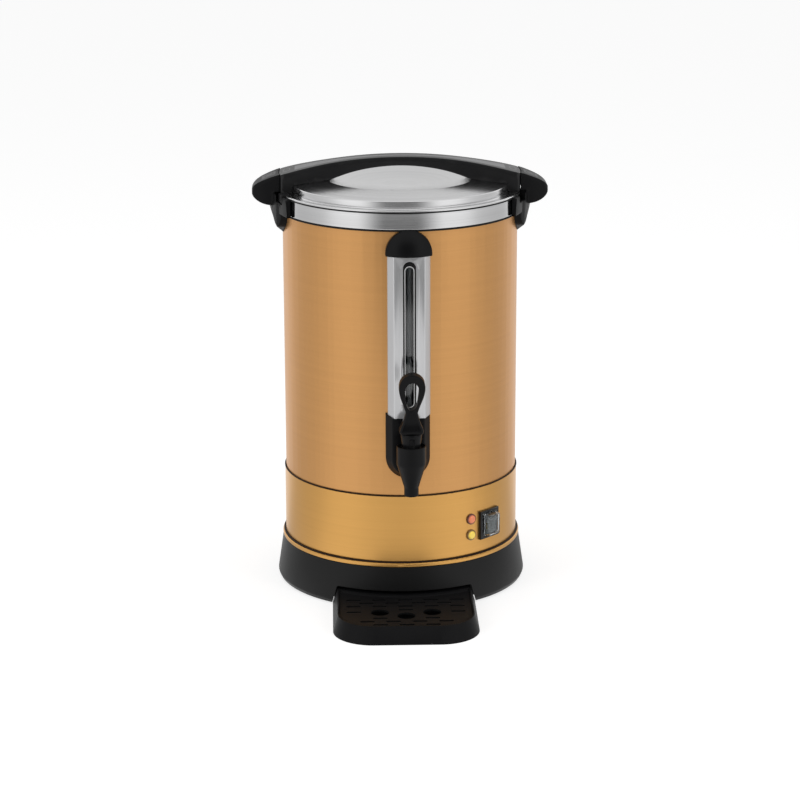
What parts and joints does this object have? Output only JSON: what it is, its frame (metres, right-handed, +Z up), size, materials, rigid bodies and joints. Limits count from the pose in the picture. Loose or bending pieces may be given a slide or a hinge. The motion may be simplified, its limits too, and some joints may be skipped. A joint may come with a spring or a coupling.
{
  "type": "filter coffee urn",
  "caption": "Round percolating coffee urn with a gold-toned drum, locking lid with a bar handle, level gauge, lever tap, rocker switch and a pull-out drip tray.",
  "frame": {"origin": "point on the table under the middle of the urn's bounding box, 48.7 mm in front of the drum's axis", "axes": "+Z up along the drum's axis, -Y towards the user and the tap, +X towards the right handle as the user sees it"},
  "size_m": [0.301, 0.3566, 0.4443],
  "materials": {
    "gold_shell": "satin gold tone over brushed sheet steel",
    "gold_band": "satin gold tone over rolled sheet steel",
    "bright_steel": "fine turned and polished",
    "tank_steel": "plain satin inside",
    "gauge_steel": "vertical satin",
    "black_plastic": "fine moulded grain",
    "base_plastic": "fine moulded grain, foot of the urn",
    "tap_plastic": "slightly polished mouldings",
    "tray_plastic": "fine moulded grain",
    "switch_plastic": "gloss",
    "terminal_plastic": "heat-proof ivory",
    "clear_plastic": "clear flexible cap",
    "gauge_glass": "clear",
    "lamp_red": "translucent, lit",
    "lamp_yellow": "translucent, lit",
    "seal_rubber": "soft heat-proof seal",
    "foot_rubber": "matt",
    "heater_alloy": "cast",
    "pin_brass": "plain",
    "screw_steel": "zinc plated"
  },
  "bodies": {
    "urn": {"base_ring": "base_plastic", "base_cover": "base_plastic", "rubber_feet": "foot_rubber", "base_screws": "screw_steel", "lower_band": "gold_band", "outer_shell": "gold_shell", "rim_collar": "bright_steel", "tank_liner": "tank_steel", "heater_plate": "heater_alloy", "heating_element": "tank_steel", "thermostat": "heater_alloy", "thermal_cutout": "heater_alloy", "terminal_block": "terminal_plastic", "power_inlet": "black_plastic", "inlet_pins": "pin_brass", "inlet_screws": "screw_steel", "switch_housing": "switch_plastic", "switch_cover": "clear_plastic", "lamp_lens_red": "lamp_red", "lamp_lens_yellow": "lamp_yellow", "lamp_bodies": "black_plastic", "side_handle_right": "black_plastic", "side_handle_left": "black_plastic", "handle_screws": "screw_steel", "gauge_cover": "gauge_steel", "gauge_insert": "switch_plastic", "gauge_window": "gauge_glass", "sight_tube": "gauge_glass", "gauge_seals": "seal_rubber", "gauge_cap": "black_plastic", "tap_housing": "tap_plastic", "tap_body": "tap_plastic", "tap_shank": "tap_plastic", "tap_gaskets": "seal_rubber", "tap_spacer": "tap_plastic", "tap_nut": "tap_plastic", "tap_bonnet": "tap_plastic", "valve_spring": "tank_steel"},
    "lid_carrier": {"lid_seal": "seal_rubber"},
    "lid": {"lid_shell": "bright_steel", "lid_inner_pan": "tank_steel", "lid_bar": "black_plastic", "lid_screws": "screw_steel"},
    "valve": {"tap_stem": "tank_steel", "seat_cup": "seal_rubber"},
    "lever": {"tap_lever": "tap_plastic", "lever_pin": "tank_steel"},
    "rocker": {"switch_rocker": "switch_plastic"},
    "tray": {"drip_tray": "tray_plastic"},
    "grille": {"drip_grille": "tray_plastic"},
    "percolator": {"percolator_stem": "tank_steel", "coffee_basket": "tank_steel", "basket_strainer": "tank_steel", "basket_lid": "tank_steel"}
  },
  "joints": [
    {"name": "lid_lift", "type": "slide", "parent": "urn", "child": "lid_carrier", "axis": [0, 0, 1], "range_m": [0, 0.2]},
    {"name": "lid_turn", "type": "hinge", "parent": "lid_carrier", "child": "lid", "pos_m": [0, 0.0487, 0.41], "axis": [0, 0, 1], "range_deg": [-11, 0]},
    {"name": "lever_pull", "type": "hinge", "parent": "valve", "child": "lever", "pos_m": [0.00632, -0.10216, 0.1986], "axis": [0.9991, 0.0419, 0], "range_deg": [0, 25], "stiffness_Nm_per_rad": 0.5, "springref_deg": -17.19},
    {"name": "valve_lift", "type": "slide", "parent": "urn", "child": "valve", "axis": [0, 0, 1], "range_m": [0, 0.0032], "deforming": ["valve_spring"]},
    {"name": "switch_rock", "type": "hinge", "parent": "urn", "child": "rocker", "pos_m": [0.08294, -0.03167, 0.0778], "axis": [0.6959, 0.7181, 0], "range_deg": [-14, 0]},
    {"name": "tray_slide", "type": "slide", "parent": "urn", "child": "tray", "axis": [0, -1, 0], "range_m": [0, 0.12]},
    {"name": "grille_lift", "type": "slide", "parent": "tray", "child": "grille", "axis": [0, 0, 1], "range_m": [0, 0.08]},
    {"name": "percolator_lift", "type": "slide", "parent": "urn", "child": "percolator", "axis": [0, 0, 1], "range_m": [0, 0.015]}
  ],
  "couplings": [
    {"joint": "valve_lift", "follows": "lever_pull", "m_per_rad": 0.0073}
  ]
}
